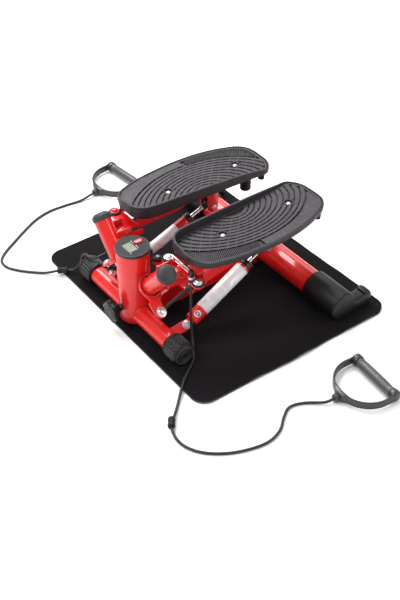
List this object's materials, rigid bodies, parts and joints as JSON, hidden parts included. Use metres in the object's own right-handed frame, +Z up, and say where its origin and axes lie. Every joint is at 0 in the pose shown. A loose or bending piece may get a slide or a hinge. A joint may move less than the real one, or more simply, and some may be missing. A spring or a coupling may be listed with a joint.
{
  "type": "twist stepper",
  "caption": "Low twist stepper on a floor mat: two pedal arms on inclined pivots, hydraulic cylinders, display column and elastic cords with D-handles.",
  "frame": {"origin": "centre of the floor mat's underside, on the floor", "axes": "+Z up, +Y towards the rear tube, -Y towards the display column, +X to the user's left as the user stands on the pedals facing the column"},
  "size_m": [1.0384, 0.5983, 0.2312],
  "materials": {
    "mat": "black felt-like rubber mat",
    "red_paint": "gloss red powder coat",
    "black_plastic": "black moulded plastic",
    "tread_plastic": "charcoal moulded plastic",
    "display_plastic": "dark grey moulded plastic",
    "lcd": "greenish grey display",
    "button_red": "red plastic",
    "board": "green circuit board",
    "zinc": "zinc plated",
    "chrome": "polished",
    "bush": "white nylon",
    "rubber": "black rubber",
    "cord": "black latex cord",
    "handle_plastic": "charcoal plastic",
    "cylinder_paint": "red paint under a silver label"
  },
  "bodies": {
    "root": {"floor_mat": "mat", "front_cross_tube": "red_paint", "front_end_caps": "black_plastic", "cap_screws": "zinc", "rear_cross_tube": "red_paint", "rear_boots": "black_plastic", "spine_tube": "red_paint", "column_tube": "red_paint", "pivot_shafts": "zinc", "shaft_nuts": "zinc", "display_housing": "display_plastic", "display_window": "lcd", "display_board": "board", "button_spring": "zinc", "battery_cell": "zinc", "pedal_sensor": "black_plastic", "knob_insert": "zinc", "cylinder_lugs": "red_paint", "cylinder_lower_bolts": "zinc", "equaliser_post": "zinc", "handle_frames": "handle_plastic", "handle_cores": "black_plastic", "elastic_cord_left": "cord", "elastic_cord_right": "cord", "cord_stoppers": "black_plastic"},
    "equaliser": {"equaliser_bar": "red_paint"},
    "knob": {"tension_knob": "black_plastic"},
    "button": {"display_button": "button_red"},
    "arm_left": {"pivot_sleeve_left": "red_paint", "sleeve_cap_left": "display_plastic", "pivot_bushes_left": "bush", "arm_bolts_left": "zinc", "arm_frame_left": "red_paint", "pedal_left": "tread_plastic", "pedal_screws_left": "zinc", "rear_bumper_left": "rubber", "front_pads_left": "rubber", "snap_hook_left": "chrome"},
    "cylinder_left": {"cylinder_left": "cylinder_paint", "cylinder_gland_left": "black_plastic"},
    "rod_left": {"piston_rod_left": "chrome", "rod_end_left": "black_plastic"},
    "link_left": {"link_rod_left": "black_plastic"},
    "grip_left": {"handle_grip_left": "handle_plastic"},
    "arm_right": {"pivot_sleeve_right": "red_paint", "sleeve_cap_right": "display_plastic", "pivot_bushes_right": "bush", "arm_bolts_right": "zinc", "arm_frame_right": "red_paint", "pedal_right": "tread_plastic", "pedal_screws_right": "zinc", "rear_bumper_right": "rubber", "front_pads_right": "rubber", "snap_hook_right": "chrome"},
    "cylinder_right": {"cylinder_right": "cylinder_paint", "cylinder_gland_right": "black_plastic"},
    "rod_right": {"piston_rod_right": "chrome", "rod_end_right": "black_plastic"},
    "link_right": {"link_rod_right": "black_plastic"},
    "grip_right": {"handle_grip_right": "handle_plastic"}
  },
  "joints": [
    {"name": "arm_left_swing", "type": "hinge", "parent": "root", "child": "arm_left", "pos_m": [0.124, -0.198, 0.202], "axis": [0.6561, 0, 0.7547], "range_deg": [-17, 17]},
    {"name": "arm_right_swing", "type": "hinge", "parent": "root", "child": "arm_right", "pos_m": [-0.124, -0.198, 0.202], "axis": [-0.6561, 0, 0.7547], "range_deg": [-17, 17]},
    {"name": "equaliser_pivot", "type": "hinge", "parent": "root", "child": "equaliser", "pos_m": [0, -0.098, 0.066], "axis": [0, 0, 1], "range_deg": [-17, 17]},
    {"name": "link_left_pivot", "type": "hinge", "parent": "equaliser", "child": "link_left", "pos_m": [0.06, -0.098, 0.0744], "axis": [0, 0, 1], "range_deg": [-17, 17]},
    {"name": "cylinder_left_pivot", "type": "hinge", "parent": "root", "child": "cylinder_left", "pos_m": [0.115, -0.15, 0.032], "axis": [0.6061, -0.2854, 0.7424], "range_deg": [-17.34, 17.34]},
    {"name": "piston_left_slide", "type": "slide", "parent": "cylinder_left", "child": "rod_left", "axis": [-0.0637, 0.913, 0.403], "range_m": [-0.033, 0.033]},
    {"name": "link_right_pivot", "type": "hinge", "parent": "equaliser", "child": "link_right", "pos_m": [-0.06, -0.098, 0.0744], "axis": [0, 0, 1], "range_deg": [-17, 17]},
    {"name": "cylinder_right_pivot", "type": "hinge", "parent": "root", "child": "cylinder_right", "pos_m": [-0.115, -0.15, 0.032], "axis": [-0.6061, -0.2854, 0.7424], "range_deg": [-17.34, 17.34]},
    {"name": "piston_right_slide", "type": "slide", "parent": "cylinder_right", "child": "rod_right", "axis": [0.0637, 0.913, 0.403], "range_m": [-0.033, 0.033]},
    {"name": "tension_knob_turn", "type": "hinge", "parent": "root", "child": "knob", "pos_m": [0, -0.25, 0.048], "axis": [0, -1, 0], "continuous": true},
    {"name": "display_button_press", "type": "slide", "parent": "root", "child": "button", "axis": [0, 0, -1], "range_m": [0, 0.0015], "stiffness_N_per_m": 400, "springref_m": -0.0005, "deforming": ["button_spring"]},
    {"name": "grip_left_spin", "type": "hinge", "parent": "root", "child": "grip_left", "pos_m": [0.4523, 0.07455, 0.013], "axis": [0.9954, -0.0958, 0], "continuous": true},
    {"name": "grip_right_spin", "type": "hinge", "parent": "root", "child": "grip_right", "pos_m": [-0.4523, 0.07455, 0.013], "axis": [-0.9954, -0.0958, 0], "continuous": true}
  ],
  "couplings": [
    {"joint": "arm_right_swing", "follows": "arm_left_swing", "ratio": 1},
    {"joint": "equaliser_pivot", "follows": "arm_left_swing", "ratio": 0.965},
    {"joint": "link_left_pivot", "follows": "arm_left_swing", "ratio": -0.965},
    {"joint": "cylinder_left_pivot", "follows": "arm_left_swing", "ratio": 1.0107},
    {"joint": "piston_left_slide", "follows": "arm_left_swing", "m_per_rad": 0.10917},
    {"joint": "link_right_pivot", "follows": "arm_left_swing", "ratio": -0.965},
    {"joint": "cylinder_right_pivot", "follows": "arm_left_swing", "ratio": 1.0107},
    {"joint": "piston_right_slide", "follows": "arm_left_swing", "m_per_rad": -0.10917}
  ]
}
